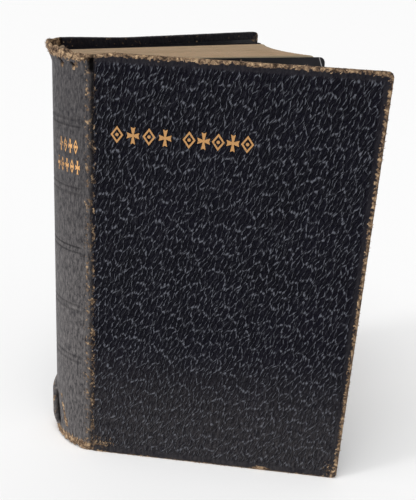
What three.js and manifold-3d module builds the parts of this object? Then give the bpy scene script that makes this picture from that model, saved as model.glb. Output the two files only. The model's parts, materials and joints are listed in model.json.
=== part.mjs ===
// An old leather-bound book that stands on its tail edge with its covers a little open.
//
// Millimetres, +Z up. The spine is vertical, the front cover runs along +X from the front joint, and its
// outer face looks along -Y. Two plan directions serve the rest: the closed direction, in which the covers
// and pages would lie in a shut book, and the chord, which runs across the spine from joint to joint.

import * as THREE from 'three';
import { mergeVertices } from 'three/addons/utils/BufferGeometryUtils.js';
import Module from 'manifold-3d';

const wasm = await Module();
wasm.setup();

// Driving dimensions
const coverHeight = 190;
const coverWidth = 117.8; // from the joint's axis to the fore-edge
const spineChord = 36.3; // from joint to joint across the spine
const spineRise = 8; // how far the rounded spine stands out from the chord
const closedTurn = 38; // plan angle of the shut book to the front cover, degrees
const backTurn = 45.9; // plan angle of the back cover to the front cover, degrees
const squares = 3.5; // how far the covers stand past the pages at head and tail
const pageWidth = 110;
const pageCornerRadius = 3;

// Leather, board and paper
const leather = 0.8;
const coverCornerRadius = 3;
const turnIn = 14; // width of the leather that is folded over inside the board's edges
const turnInThickness = 0.6;
const boardThickness = 1.5; // under the turn-ins; the panel between them is flush with them
const pastedown = 0.2;
const fit = 0.1; // gap between pieces that touch
const jointGap = 0.7; // from a joint's axis to the leather on each side of it
const boardSetback = 2; // from a joint's axis to the board's edge
const overshoot = 1; // cutters run this far past what they cut

// Text block
const sectionCount = 24;
const sectionThickness = 1.07;
const foldThickness = 0.58; // a section is pinched where it is sewn
const pinchLength = 28; // over this length it swells to its full thickness
const sectionFan = 5.5; // the front section leans this far open, degrees
const flyleaf = 0.25;
const flyleafWidth = 111.5; // a little past the pages
const frontFlyleafLean = 8.2; // degrees
const backFlyleafLean = 2;

// Spine pieces, from the leather inwards
const spineLeather = 0.9;
const spineTurnIn = 0.6;
const spineTurnInHeight = 12;
const liningThickness = 0.6;
const mullThickness = 0.4;
const mullSetback = 6; // from the head and tail of the pages
const tapeThickness = 0.35;
const tapeWidth = 12;
const tapeHeights = [50, 95, 140];
const kettleHeights = { tail: 14, head: 176 };
const bandRadius = 0.9;

// Worked out from the driving dimensions
const arcRadius = (spineChord ** 2 / 4 + spineRise ** 2) / (2 * spineRise);
const arcInset = arcRadius - spineRise; // the arc's centre stands this far inside the chord
const liningRadius = arcRadius - spineLeather - fit;
const mullRadius = liningRadius - liningThickness - fit;
const tapeRadius = mullRadius - mullThickness - fit;
const foldRadius = tapeRadius - tapeThickness - fit; // the section folds lie inside this
const coverThickness = leather + boardThickness + turnInThickness + 2 * fit;
const blockStart = coverThickness + fit + pastedown + fit + flyleaf + fit; // the block's front face, along the chord
const pitch = (spineChord - 2 * blockStart - sectionThickness) / (sectionCount - 1);
const pageBottom = squares;
const pageTop = coverHeight - squares;

const radians = THREE.MathUtils.degToRad;

function standard(color, roughness) {
  return new THREE.MeshStandardMaterial({ color, roughness, metalness: 0 });
}

const grainedLeather = standard(0x24242e, 0.45);
const wornLeather = standard(0x5b5759, 0.6);
const board = standard(0x8a7358, 0.9);
const blackPaper = standard(0x17171c, 0.8);
const pagePaper = standard(0xb8987a, 0.9);
const liningPaper = standard(0x9a7d5c, 0.9);
const mullCloth = standard(0xc9bd9f, 0.95);
const tapeCloth = standard(0xd8cfb4, 0.9);
const linenThread = standard(0xd9cfb8, 0.8);
const bandSilk = standard(0x6b3a2c, 0.7);

const book = new THREE.Group();

function addPiece(parent, name, geometry, material) {
  const mesh = new THREE.Mesh(geometry, material);
  mesh.name = name;
  parent.add(mesh);
  return mesh;
}

function turned(parent, x, y, degrees) {
  const group = new THREE.Group();
  group.position.set(x, y, 0);
  group.rotation.z = radians(degrees);
  parent.add(group);
  return group;
}

// Solids for cutting and joining
function solid(geometry) {
  const bare = geometry.clone();
  bare.deleteAttribute('normal');
  bare.deleteAttribute('uv');
  const merged = mergeVertices(bare, 1e-5);
  return new wasm.Manifold(new wasm.Mesh({
    numProp: 3,
    vertProperties: new Float32Array(merged.attributes.position.array),
    triVerts: new Uint32Array(merged.index.array),
  }));
}

function geometryOf(manifold) {
  const mesh = manifold.getMesh();
  const geometry = new THREE.BufferGeometry();
  geometry.setAttribute('position', new THREE.BufferAttribute(new Float32Array(mesh.vertProperties), 3));
  geometry.setIndex(new THREE.BufferAttribute(new Uint32Array(mesh.triVerts), 1));
  geometry.computeVertexNormals();
  return geometry;
}

// A plan shape raised from one height to another
function raise(shape, from, to, curveSegments = 20) {
  const geometry = new THREE.ExtrudeGeometry(shape, { depth: to - from, bevelEnabled: false, curveSegments });
  geometry.translate(0, 0, from);
  return geometry;
}

// A sheet drawn in a plane that holds X and Z, with its round corners at the fore-edge, from y = low to y = high
function sheet(left, right, bottom, top, radius, low, high) {
  const shape = new THREE.Shape();
  shape.moveTo(left, bottom);
  shape.lineTo(right - radius, bottom);
  shape.absarc(right - radius, bottom + radius, radius, -Math.PI / 2, 0, false);
  shape.lineTo(right, top - radius);
  shape.absarc(right - radius, top - radius, radius, 0, Math.PI / 2, false);
  shape.lineTo(left, top);
  shape.closePath();
  const geometry = new THREE.ExtrudeGeometry(shape, { depth: high - low, bevelEnabled: false, curveSegments: 5 });
  geometry.rotateX(Math.PI / 2);
  geometry.translate(0, high, 0);
  return geometry;
}

// A sheet of a cover, which lies from depth near to depth far inside the cover's outer face
function coverSheet(side, left, right, bottom, top, radius, near, far) {
  const [low, high] = side > 0 ? [near, far] : [-far, -near];
  return sheet(left, right, bottom, top, radius, low, high);
}

// The leather is wrapped round the board's three outer edges and turned in over its inner face
function coverLeather(side) {
  const innerRadius = coverCornerRadius - leather;
  const skin = solid(coverSheet(side, jointGap, coverWidth, 0, coverHeight, coverCornerRadius, 0, coverThickness));
  const pocket = solid(coverSheet(side, jointGap - overshoot, coverWidth - leather, leather, coverHeight - leather,
    innerRadius, leather, coverThickness - turnInThickness));
  const window = solid(coverSheet(side, jointGap - overshoot, coverWidth - turnIn, turnIn, coverHeight - turnIn,
    innerRadius, leather, coverThickness + overshoot));
  return geometryOf(skin.subtract(pocket).subtract(window));
}

// The board fills the pocket, and its panel stands up between the turn-ins
function coverBoard(side) {
  const edge = leather + fit;
  const flush = turnIn + fit;
  const radius = coverCornerRadius - edge;
  const slab = solid(coverSheet(side, boardSetback, coverWidth - edge, edge, coverHeight - edge,
    radius, edge, edge + boardThickness));
  const panel = solid(coverSheet(side, boardSetback, coverWidth - flush, flush, coverHeight - flush,
    radius, edge, coverThickness));
  return geometryOf(slab.add(panel));
}

function coverPastedown(side) {
  const near = coverThickness + fit;
  return coverSheet(side, boardSetback, coverWidth - squares, squares, coverHeight - squares,
    coverCornerRadius, near, near + pastedown);
}

// A band that follows the rounded spine between two radii, with its ends cut square to the curve
function spineBand(outer, inner, chordStart, chordEnd) {
  const middle = spineChord / 2;
  const firstTurn = Math.asin((chordStart - middle) / outer);
  const lastTurn = Math.asin((chordEnd - middle) / outer);
  const steps = 18;
  const arc = (radius) => Array.from({ length: steps + 1 }, (_, step) => {
    const turn = THREE.MathUtils.lerp(firstTurn, lastTurn, step / steps);
    return new THREE.Vector2(arcInset - radius * Math.cos(turn), middle + radius * Math.sin(turn));
  });
  return new THREE.Shape([...arc(outer), ...arc(inner).reverse()]);
}

// Smooth leather over the whole spine, turned in at head and tail
function spineSkin() {
  const clear = jointGap * arcInset / arcRadius; // along the chord, for a gap of jointGap along the arc
  const outerBand = spineBand(arcRadius, arcRadius - spineLeather, clear, spineChord - clear);
  const turnInSetback = coverThickness;
  const innerBand = spineBand(arcRadius - spineLeather + fit, arcRadius - spineLeather - spineTurnIn,
    turnInSetback, spineChord - turnInSetback);
  return geometryOf(solid(raise(outerBand, 0, coverHeight))
    .add(solid(raise(innerBand, 0, spineTurnInHeight)))
    .add(solid(raise(innerBand, coverHeight - spineTurnInHeight, coverHeight))));
}

// Distance along the chord of a section's fold
const sectionChord = (index) => blockStart + sectionThickness / 2 + pitch * index;

// How far inside the chord a fold lies, so that its back touches the fold radius
function foldInset(chord) {
  const reach = foldRadius - foldThickness / 2;
  return arcInset - Math.sqrt(reach ** 2 - (chord - spineChord / 2) ** 2);
}

// One folded section: round at the fold, pinched where it is sewn, with round corners at the fore-edge
function sectionGeometry() {
  const plan = new THREE.Shape();
  const half = foldThickness / 2;
  plan.moveTo(0, -half);
  plan.lineTo(pinchLength, -sectionThickness / 2);
  plan.lineTo(pageWidth, -sectionThickness / 2);
  plan.lineTo(pageWidth, sectionThickness / 2);
  plan.lineTo(pinchLength, sectionThickness / 2);
  plan.lineTo(0, half);
  plan.absarc(0, 0, half, Math.PI / 2, -Math.PI / 2, false);
  const leaves = solid(raise(plan, pageBottom, pageTop, 4));
  const outline = solid(sheet(-overshoot, pageWidth, pageBottom, pageTop, pageCornerRadius,
    -sectionThickness, sectionThickness));
  return geometryOf(leaves.intersect(outline));
}

function flyleafGeometry() {
  return sheet(0, flyleafWidth, pageBottom, pageTop, pageCornerRadius, -flyleaf / 2, flyleaf / 2);
}

// A silk-covered core that lies along the folds at one end of the block
function bandGeometry(height) {
  const points = [];
  const steps = 14;
  const start = blockStart + bandRadius;
  for (let step = 0; step <= steps; step++) {
    const chord = THREE.MathUtils.lerp(start, spineChord - start, step / steps);
    const inset = arcInset - Math.sqrt((foldRadius - bandRadius) ** 2 - (chord - spineChord / 2) ** 2);
    points.push(new THREE.Vector3(inset, chord, height));
  }
  const core = new THREE.Shape();
  core.absarc(0, 0, bandRadius, 0, Math.PI * 2, false);
  return new THREE.ExtrudeGeometry(core, {
    steps, curveSegments: 8, bevelEnabled: false, extrudePath: new THREE.CatmullRomCurve3(points),
  });
}

// The spine and everything glued or sewn to it
const shut = turned(book, 0, 0, closedTurn);
const blockEnd = spineChord - blockStart;
addPiece(shut, 'spine_leather', spineSkin(), wornLeather);
addPiece(shut, 'spine_lining', raise(
  spineBand(liningRadius, liningRadius - liningThickness, blockStart, blockEnd),
  spineTurnInHeight + fit, coverHeight - spineTurnInHeight - fit), liningPaper);
addPiece(shut, 'mull', raise(
  spineBand(mullRadius, mullRadius - mullThickness, blockStart, blockEnd),
  pageBottom + mullSetback, pageTop - mullSetback), mullCloth);
const innerBand = spineBand(tapeRadius, tapeRadius - tapeThickness, blockStart, blockEnd);
tapeHeights.forEach((height, index) => {
  const tape = raise(innerBand, height - tapeWidth / 2, height + tapeWidth / 2);
  addPiece(shut, `sewing_tape_${index + 1}`, tape, tapeCloth);
});
for (const [end, height] of Object.entries(kettleHeights)) {
  const stitch = raise(innerBand, height - tapeThickness, height + tapeThickness);
  addPiece(shut, `kettle_stitch_${end}`, stitch, linenThread);
}
const bandLift = bandRadius + fit;
addPiece(shut, 'tail_band', bandGeometry(pageBottom - bandLift), bandSilk);
addPiece(shut, 'head_band', bandGeometry(pageTop + bandLift), bandSilk);

// Sections fan open from the rear one, which stays with the spine, to the front one
for (let index = 0; index < sectionCount; index++) {
  const chord = sectionChord(index);
  const lean = sectionFan * (1 - index / (sectionCount - 1));
  const place = turned(shut, foldInset(chord), chord, -lean);
  const number = String(index + 1).padStart(2, '0');
  addPiece(place, `text_section_${number}`, sectionGeometry(), pagePaper);
}

const flyleafChord = blockStart - fit - flyleaf / 2;
const flyleafInset = foldInset(sectionChord(0));
const frontLeaf = turned(shut, flyleafInset, flyleafChord, -frontFlyleafLean);
addPiece(frontLeaf, 'front_flyleaf', flyleafGeometry(), blackPaper);
const backLeaf = turned(shut, flyleafInset, spineChord - flyleafChord, backFlyleafLean);
addPiece(backLeaf, 'back_flyleaf', flyleafGeometry(), blackPaper);

// The covers, each hinged on a vertical axis where its leather meets the spine
const frontCover = turned(book, 0, 0, 0);
const backJointX = -spineChord * Math.sin(radians(closedTurn));
const backJointY = spineChord * Math.cos(radians(closedTurn));
const backCover = turned(book, backJointX, backJointY, backTurn);
for (const [name, group, side] of [['front', frontCover, 1], ['back', backCover, -1]]) {
  addPiece(group, `${name}_cover_leather`, coverLeather(side), grainedLeather);
  addPiece(group, `${name}_board`, coverBoard(side), board);
  addPiece(group, `${name}_pastedown`, coverPastedown(side), blackPaper);
}

// The origin is at the middle of the footprint
const box = new THREE.Box3().setFromObject(book, true);
const centre = box.getCenter(new THREE.Vector3());
book.position.set(-centre.x, -centre.y, 0);

export default book;
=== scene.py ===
import bmesh
import bpy
import json
import numpy as np
from math import asin, atan2, cos, pi, radians, sin, tau
from mathutils import Matrix, Vector


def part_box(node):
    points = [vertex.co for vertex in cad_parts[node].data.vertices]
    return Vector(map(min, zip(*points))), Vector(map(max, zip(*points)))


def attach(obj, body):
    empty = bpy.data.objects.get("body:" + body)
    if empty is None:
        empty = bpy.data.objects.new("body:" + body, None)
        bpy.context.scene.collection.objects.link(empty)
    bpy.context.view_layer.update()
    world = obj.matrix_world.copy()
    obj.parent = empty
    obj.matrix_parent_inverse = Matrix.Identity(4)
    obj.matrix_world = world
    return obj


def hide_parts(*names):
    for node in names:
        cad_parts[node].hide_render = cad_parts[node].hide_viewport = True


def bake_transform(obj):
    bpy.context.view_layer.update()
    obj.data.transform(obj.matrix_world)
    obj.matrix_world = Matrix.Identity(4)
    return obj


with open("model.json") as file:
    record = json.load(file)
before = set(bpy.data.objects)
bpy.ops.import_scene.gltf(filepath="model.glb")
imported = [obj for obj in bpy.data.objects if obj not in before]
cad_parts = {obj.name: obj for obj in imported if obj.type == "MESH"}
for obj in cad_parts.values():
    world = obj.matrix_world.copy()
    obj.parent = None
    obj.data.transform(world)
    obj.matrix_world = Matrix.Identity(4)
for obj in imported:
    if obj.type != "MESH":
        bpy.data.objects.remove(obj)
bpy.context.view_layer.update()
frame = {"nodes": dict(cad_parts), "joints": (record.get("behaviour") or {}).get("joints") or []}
MM = 0.001

# ---- Viewpoint ---------------------------------------------------------------------------------
# The book stands on a table with its front cover opened towards the viewer, who looks down on it
# from a little way off. The camera is placed from the front joint, where cover and spine meet.
hinge = {joint["name"]: Vector(joint["pos_m"]) for joint in frame["joints"]}
front_joint, back_joint = hinge["front_cover_hinge"], hinge["back_cover_hinge"]
CAMERA_FROM_JOINT = Vector((72.6 * MM, -308.1 * MM, 234.2 * MM))
CAMERA_TURN, CAMERA_DIP, CAMERA_ROLL = radians(-5.53), radians(21.92), radians(-3.07)
CAMERA_LENS = 56  # mm


def put_in_scene(name, data):
    piece = bpy.data.objects.new(name, data)
    bpy.context.scene.collection.objects.link(piece)
    return piece


camera = put_in_scene("camera", bpy.data.cameras.new("camera"))
bpy.context.scene.camera = camera
aim = (Matrix.Rotation(-CAMERA_TURN, 4, "Z") @ Matrix.Rotation(pi / 2 - CAMERA_DIP, 4, "X")
       @ Matrix.Rotation(-CAMERA_ROLL, 4, "Z"))
camera.matrix_world = Matrix.Translation(front_joint + CAMERA_FROM_JOINT) @ aim
camera.data.lens = CAMERA_LENS
camera.data.shift_x = 0.036
camera.data.clip_start = 0.01

# ---- Plan of the binding -----------------------------------------------------------------------
# The spine is an arc from joint to joint. The boards swing about the joints, and the shut direction
# is square to the chord between them. Everything on the book is measured along these.
SPINE_RISE = 8 * MM
BACK_OPEN = radians(7.9)  # how far the back cover stands open from shut
FOLD_EASE = 1.6 * MM  # how far either side of a joint its fold is rounded
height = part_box("front_cover_leather")[1].z
cover_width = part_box("front_cover_leather")[1].x - front_joint.x
joint_a, joint_b = np.array(front_joint.xy), np.array(back_joint.xy)
chord = np.linalg.norm(joint_b - joint_a)
along_chord = (joint_b - joint_a) / chord
shut = np.array([along_chord[1], -along_chord[0]])
shut_angle = atan2(shut[1], shut[0])
arc_radius = (chord ** 2 / 4 + SPINE_RISE ** 2) / (2 * SPINE_RISE)
arc_centre = (joint_a + joint_b) / 2 + shut * (arc_radius - SPINE_RISE)
arc_half = asin(chord / 2 / arc_radius)
arc_length = 2 * arc_half * arc_radius


def along_spine(distance):
    """Points and inward directions in plan, at distances along the spine from the front joint."""
    turn = np.asarray(distance) / arc_radius - arc_half
    inward = np.outer(np.cos(turn), shut) - np.outer(np.sin(turn), along_chord)
    return arc_centre - inward * arc_radius, inward


def across_cover(joint, spine_start, spine_step, direction, inner):
    """The same for a cover: distances below 0 lie on the spine, past the joint, whose fold is eased."""
    ease = FOLD_EASE

    def path(distance):
        distance = np.asarray(distance, float)
        arc_point, arc_inward = along_spine(spine_start + spine_step * np.maximum(-distance, 0))
        flat_point = joint + np.outer(np.maximum(distance, 0), direction)
        on_spine = (distance < 0)[:, None]
        point = np.where(on_spine, arc_point, flat_point)
        inward = np.where(on_spine, arc_inward, inner)
        start = along_spine([spine_start + spine_step * ease])[0][0]
        stop = joint + direction * ease
        t = np.clip((distance + ease) / (2 * ease), 0, 1)[:, None]
        eased = (1 - t) ** 2 * start + 2 * t * (1 - t) * joint + t ** 2 * stop
        slope = (1 - t) * (joint - start) + t * (stop - joint)
        normal = np.stack([-slope[:, 1], slope[:, 0]], axis=1)
        normal *= np.sign(normal @ np.asarray(inner))[:, None] / np.linalg.norm(normal, axis=1)[:, None]
        near = (np.abs(distance) < ease)[:, None]
        return np.where(near, eased, point), np.where(near, normal, inward)

    return path


back_angle = shut_angle + BACK_OPEN
back_direction = np.array([cos(back_angle), sin(back_angle)])
front_path = across_cover(joint_a, 0.0, 1.0, np.array([1.0, 0.0]), np.array([0.0, 1.0]))
back_path = across_cover(joint_b, arc_length, -1.0, back_direction,
                         np.array([back_direction[1], -back_direction[0]]))


def smooth(value, low, high):
    """A soft step from 0 at low to 1 at high, either way round."""
    t = np.clip((np.asarray(value, float) - low) / (high - low), 0, 1)
    return t * t * (3 - 2 * t)


# ---- Leather covers ----------------------------------------------------------------------------
# Each cover is a board in a skin of grained goatskin. The skin is drawn over the board's three outer
# edges, turned in on the inside, and runs on across the joint on to the spine, which lets it hinge.
BOARD_COVER = 3.1 * MM  # leather, board and turn-in together
FLAP = 1.5 * MM  # leather and turn-in alone, where there is no board
BOARD_START = 2.2 * MM
JOINT_OVERLAP = 3.5 * MM  # how far the cover's skin runs on to the spine
EDGE_ROLL = 0.75 * MM
TURN_IN = 12 * MM
TURN_IN_STEP = 0.5 * MM
CORNER = 2.2 * MM
TITLE_HEIGHT, TITLE_WIDTH, TITLE_TALL = 157.6 * MM, 5.3 * MM, 7.2 * MM
TITLE_WORDS = ((10.2 * MM, 6.65 * MM, 4), (40.0 * MM, 5.95 * MM, 5))  # first place, step and count
TITLE_PLACES = [first + k * step for first, step, count in TITLE_WORDS for k in range(count)]
# width, length, shift, flank as a share of the cell, share of the height, and whether its edges are crests
GRAIN_SIZES = ((2.0 * MM, 7.2 * MM, 3.7, 0.16, 0.55, True),
               (1.15 * MM, 3.4 * MM, 9.1, 0.26, 0.45, False))
GRAIN_LEAN = 0.33  # sideways shift for each unit of height
GRAIN_SWAY = (4.2 * MM, 0.0, 2.5 * MM)  # how far the wrinkles wander, across and up
GRAIN_SOFTEN = 2.2  # how much wider the pressed flanks are than the shaded ones
GRAIN_RELIEF = 0.40 * MM  # pressed into the mesh
GRAIN_BUMP = 0.95 * MM  # shaded on top of that, for the fine part of the grain
FRAY_RELIEF = 0.6 * MM
SKIN_ROWS, JOINT_COLUMNS, BOARD_COLUMNS = 300, 20, 207
SHARP_FOLD = radians(50)  # shading breaks at folds sharper than this


def linear(code):
    """A hex sRGB colour as linear RGBA."""
    parts = [int(code[i:i + 2], 16) / 255 for i in (1, 3, 5)]
    return [c / 12.92 if c <= 0.04045 else ((c + 0.055) / 1.055) ** 2.4 for c in parts] + [1.0]


def add(tree, kind, inputs=None, out=0, **settings):
    """Adds a node with its settings, links or sets its inputs by name or number, and gives an output.

    The kinds of shader nodes go by their short names, without the ShaderNode."""
    node = tree.nodes.new(kind if "Node" in kind else f"ShaderNode{kind}")
    for key, value in settings.items():
        setattr(node, key, value)
    for key, value in (inputs or {}).items():
        if isinstance(value, bpy.types.NodeSocket):
            tree.links.new(value, node.inputs[key])
        else:
            node.inputs[key].default_value = value
    return node.outputs[out] if node.outputs else node


def make_mesh(name, points, faces, attributes=None):
    """A piece from points and faces, closed, with its faces outwards and its point attributes."""
    mesh = bpy.data.meshes.new(name)
    mesh.from_pydata(np.asarray(points).tolist(), [], faces)
    for key, values in (attributes or {}).items():
        values = np.asarray(values, np.float32)
        layer = mesh.attributes.new(key, "FLOAT_VECTOR" if values.ndim == 2 else "FLOAT", "POINT")
        layer.data.foreach_set("vector" if values.ndim == 2 else "value", values.ravel())
    shell = bmesh.new()
    shell.from_mesh(mesh)
    bmesh.ops.remove_doubles(shell, verts=shell.verts, dist=1e-6)
    bmesh.ops.recalc_face_normals(shell, faces=shell.faces)
    for edge in shell.edges:
        edge.smooth = edge.calc_face_angle(0) < SHARP_FOLD
    shell.to_mesh(mesh)
    shell.free()
    mesh.polygons.foreach_set("use_smooth", [True] * len(mesh.polygons))
    return put_in_scene(name, mesh)


def wrapped_panel(name, across, up, path, depth_at, fore_edge, fields, on_skin):
    """A skin of leather: a fine outer face, edges rolled over and turned in, and a plain inside.

    across and up are the distances of the outer face's columns and rows. fields(across, up, rim) gives
    each point's attributes and how far it stands out and up; rim is 0 on the face, 1 round the edge and
    2 inside.
    on_skin(across) is the place across the whole uncut skin, which every leather pattern is laid on."""
    columns, rows = len(across), len(up)
    a, z = np.meshgrid(across, up, indexing="ij")
    reach = up[-1] + EDGE_ROLL
    if fore_edge:
        # the square corners of the grid are drawn in to round ones
        centre_a, low, high = fore_edge - CORNER, up[0] - EDGE_ROLL + CORNER, reach - CORNER
        da = np.maximum(a - centre_a, 0)
        dz = np.minimum(z - low, 0) + np.maximum(z - high, 0)
        far = np.maximum(np.hypot(da, dz), 1e-9)
        draw = np.where((da > 0) & (dz != 0), np.maximum(da, np.abs(dz)) / far, 1)
        a = np.where(da > 0, centre_a + da * draw, a)
        z = np.where(dz != 0, np.where(dz < 0, low, high) + dz * draw, z)
    index = np.arange(columns * rows).reshape(columns, rows)
    bottom = [(i, 0) for i in range(columns)]
    top = [(i, rows - 1) for i in reversed(range(columns))]
    side = [(columns - 1, j) for j in range(1, rows - 1)]
    strings = [bottom + side + top] if fore_edge else [bottom, top]
    parts_a, parts_z = [a.ravel()], [z.ravel()]
    parts_y, parts_rim = [np.zeros(a.size)], [np.zeros(a.size)]
    faces = [(index[i, j], index[i + 1, j], index[i + 1, j + 1], index[i, j + 1])
             for i in range(columns - 1) for j in range(rows - 1)]
    count = a.size
    rims = []
    for string in strings:
        ij = np.array(string)
        base_a, base_z = a[ij[:, 0], ij[:, 1]], z[ij[:, 0], ij[:, 1]]
        out_a = np.zeros(len(ij))
        out_z = np.where(ij[:, 1] == 0, -1.0, np.where(ij[:, 1] == rows - 1, 1.0, 0.0))
        if fore_edge:
            da = base_a - centre_a
            dz = np.where(base_z < low, base_z - low, np.where(base_z > high, base_z - high, 0))
            in_corner = (da > 0) & (dz != 0)
            far = np.maximum(np.hypot(da, dz), 1e-9)
            on_side = (ij[:, 0] == columns - 1) & ~in_corner
            out_a = np.where(in_corner, da / far, np.where(on_side, 1.0, 0.0))
            out_z = np.where(in_corner, dz / far, np.where(on_side, 0.0, out_z))
        thick = depth_at(base_a)
        arc = np.linspace(0, pi / 2, 5)
        steps = [(EDGE_ROLL * (1 - sin(t)), EDGE_ROLL * (1 - cos(t)), 0) for t in arc[1:]]
        steps += [(EDGE_ROLL * (1 - cos(t)), EDGE_ROLL * sin(t) - EDGE_ROLL, 1) for t in arc]
        steps += [(TURN_IN, 0, 1), (TURN_IN, -TURN_IN_STEP, 1)]
        before = index[ij[:, 0], ij[:, 1]]
        for inset, deep, from_inside in steps:
            shift = EDGE_ROLL - inset
            if fore_edge and inset > CORNER:
                # past the corner's radius the turned-in leather is mitred
                square_a, square_z = fore_edge - inset, np.sign(out_z) * (reach / 2 - inset) + reach / 2
                line_a = np.where(in_corner | on_side, square_a, np.minimum(base_a, square_a))
                line_z = np.where(on_side, np.clip(base_z, inset, reach - inset), square_z)
            else:
                line_a, line_z = base_a + out_a * shift, base_z + out_z * shift
            parts_a.append(line_a)
            parts_z.append(line_z)
            parts_y.append(deep + thick * from_inside)
            parts_rim.append(np.full(len(ij), 1.0 + from_inside))
            now = np.arange(count, count + len(ij))
            faces += [(before[k], before[k + 1], now[k + 1], now[k]) for k in range(len(ij) - 1)]
            rims.append((before, now))
            before = now
            count += len(ij)
    laps = len(steps)
    if fore_edge:
        inner = rims[-1][1]
        low_row, high_row = inner[:columns], inner[::-1][:columns]
        flat = int(np.searchsorted(across, fore_edge - TURN_IN))
        faces.append(tuple(inner[flat:len(inner) - flat]))
    else:
        low_row, high_row = rims[laps - 1][1], rims[-1][1][::-1]
        flat = columns - 1
    faces += [(low_row[i], low_row[i + 1], high_row[i + 1], high_row[i]) for i in range(flat)]

    def end_face(column, first, last):
        up_edge = [rims[lap][1][first] for lap in reversed(range(laps))]
        down_edge = [rims[lap + (0 if fore_edge else laps)][1][last] for lap in range(laps)]
        return tuple(up_edge + list(index[column]) + down_edge)

    faces.append(end_face(0, 0, -1))
    if not fore_edge:
        faces.append(end_face(columns - 1, -1, 0))
    a, z, y, rim = (np.concatenate(p) for p in (parts_a, parts_z, parts_y, parts_rim))
    attributes, stand, lift = fields(a, z, rim)
    point, inward = path(a)
    place = point + inward * (y - stand)[:, None]
    attributes["skin"] = np.column_stack([on_skin(a), y, z])
    points = np.column_stack([place, z + lift])
    return make_mesh(name, points, [tuple(int(v) for v in face) for face in faces], attributes)


def long_grain(tree, skin, soften=1.0):
    """The height, from 0 to 1, of a boarded grain: long upright pebbles, parted by thin crested wrinkles.

    The same nodes press the mesh and shade it, so that the two agree; soften widens every flank."""
    sway = add(tree, "TexNoise",
               {"Vector": skin, "Scale": 0.15 / MM, "Detail": 3.0, "Roughness": 0.62}, out="Color")
    sway = add(tree, "VectorMath", {0: sway, 1: (0.5, 0.5, 0.5)}, operation="SUBTRACT")
    moved = add(tree, "VectorMath", {0: sway, 1: GRAIN_SWAY, 2: skin}, operation="MULTIPLY_ADD")
    split = add(tree, "SeparateXYZ", {0: moved}).node.outputs
    leant = add(tree, "Math", {0: split[2], 1: -GRAIN_LEAN, 2: split[0]}, operation="MULTIPLY_ADD")
    total = 0.0
    for width, length, seed, flank, share, crested in GRAIN_SIZES:
        across = add(tree, "Math", {0: leant, 1: width}, operation="DIVIDE")
        upright = add(tree, "Math", {0: split[2], 1: length}, operation="DIVIDE")
        cell = add(tree, "CombineXYZ", {0: across, 1: upright, 2: seed})
        gap = add(tree, "TexVoronoi", {"Vector": cell, "Scale": 1.0, "Randomness": 1.0},
                  out="Distance", voronoi_dimensions="2D", feature="DISTANCE_TO_EDGE")
        pebble = add(tree, "MapRange",
                     {0: gap, 1: 0.0, 2: flank * soften, 3: float(crested), 4: 1.0 - crested},
                     interpolation_type="SMOOTHSTEP")
        total = add(tree, "Math", {0: pebble, 1: share, 2: total}, operation="MULTIPLY_ADD")
    return total


def new_tree(name, kinds):
    """An empty geometry tree that takes and gives a mesh, with more named inputs of the given kinds."""
    tree = bpy.data.node_groups.new(name, "GeometryNodeTree")
    for label, kind in {"Geometry": "Geometry", **kinds}.items():
        tree.interface.new_socket(label, in_out="INPUT", socket_type=f"NodeSocket{kind}")
    tree.interface.new_socket("Geometry", in_out="OUTPUT", socket_type="NodeSocketGeometry")
    return tree, add(tree, "NodeGroupInput").node.outputs


def end_tree(tree, geometry, material):
    """Makes the copies real, sets their material and gives the finished tree."""
    real = add(tree, "GeometryNodeRealizeInstances", {0: geometry})
    finished = add(tree, "GeometryNodeSetMaterial", {"Geometry": real, "Material": material})
    add(tree, "NodeGroupOutput", {"Geometry": finished})
    return tree


def grain_tree():
    """Presses the grain into a skin and roughs up its worn parts."""
    tree, given = new_tree("press grain", {"Relief": "Float", "Fray": "Float", "Leather": "Material"})
    skin = add(tree, "GeometryNodeInputNamedAttribute", {"Name": "skin"}, data_type="FLOAT_VECTOR")
    mask = add(tree, "GeometryNodeInputNamedAttribute", {"Name": "grain"})
    wear = add(tree, "GeometryNodeInputNamedAttribute", {"Name": "wear"})
    raised = add(tree, "Math", {0: long_grain(tree, skin, GRAIN_SOFTEN), 1: 0.5}, operation="SUBTRACT")
    masked = add(tree, "Math", {0: raised, 1: mask}, operation="MULTIPLY")
    pressed = add(tree, "Math", {0: masked, 1: given["Relief"]}, operation="MULTIPLY")
    nap = add(tree, "TexNoise", {"Vector": skin, "Scale": 0.9 / MM, "Detail": 3.0}, out="Fac")
    nap = add(tree, "Math", {0: nap, 1: 0.5}, operation="SUBTRACT")
    worn = add(tree, "Math", {0: nap, 1: wear}, operation="MULTIPLY")
    stand = add(tree, "Math", {0: worn, 1: given["Fray"], 2: pressed}, operation="MULTIPLY_ADD")
    normal = add(tree, "GeometryNodeInputNormal")
    offset = add(tree, "VectorMath", {0: normal, "Scale": stand}, operation="SCALE")
    pressed = add(tree, "GeometryNodeSetPosition", {"Geometry": given["Geometry"], "Offset": offset})
    return end_tree(tree, pressed, given["Leather"])


def grow(piece, tree, **values):
    """Runs a node tree on a piece with its named inputs, and keeps the result as a plain mesh."""
    modifier = piece.modifiers.new(tree.name, "NODES")
    modifier.node_group = tree
    for item in tree.interface.items_tree:
        key = item.name.replace(" ", "_").lower()
        if item.in_out == "INPUT" and key in values:
            modifier[item.identifier] = values[key]
    settle(piece)
    return piece


def keep_above_table(piece):
    """Flattens whatever a tree has pushed below the table top."""
    for vertex in piece.data.vertices:
        vertex.co.z = max(vertex.co.z, 0.0)


def settle(piece):
    """Turns a piece and its modifiers into a plain mesh."""
    graph = bpy.context.evaluated_depsgraph_get()
    mesh = bpy.data.meshes.new_from_object(piece.evaluated_get(graph), preserve_all_data_layers=True,
                                           depsgraph=graph)
    piece.modifiers.clear()
    piece.data = mesh


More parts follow.
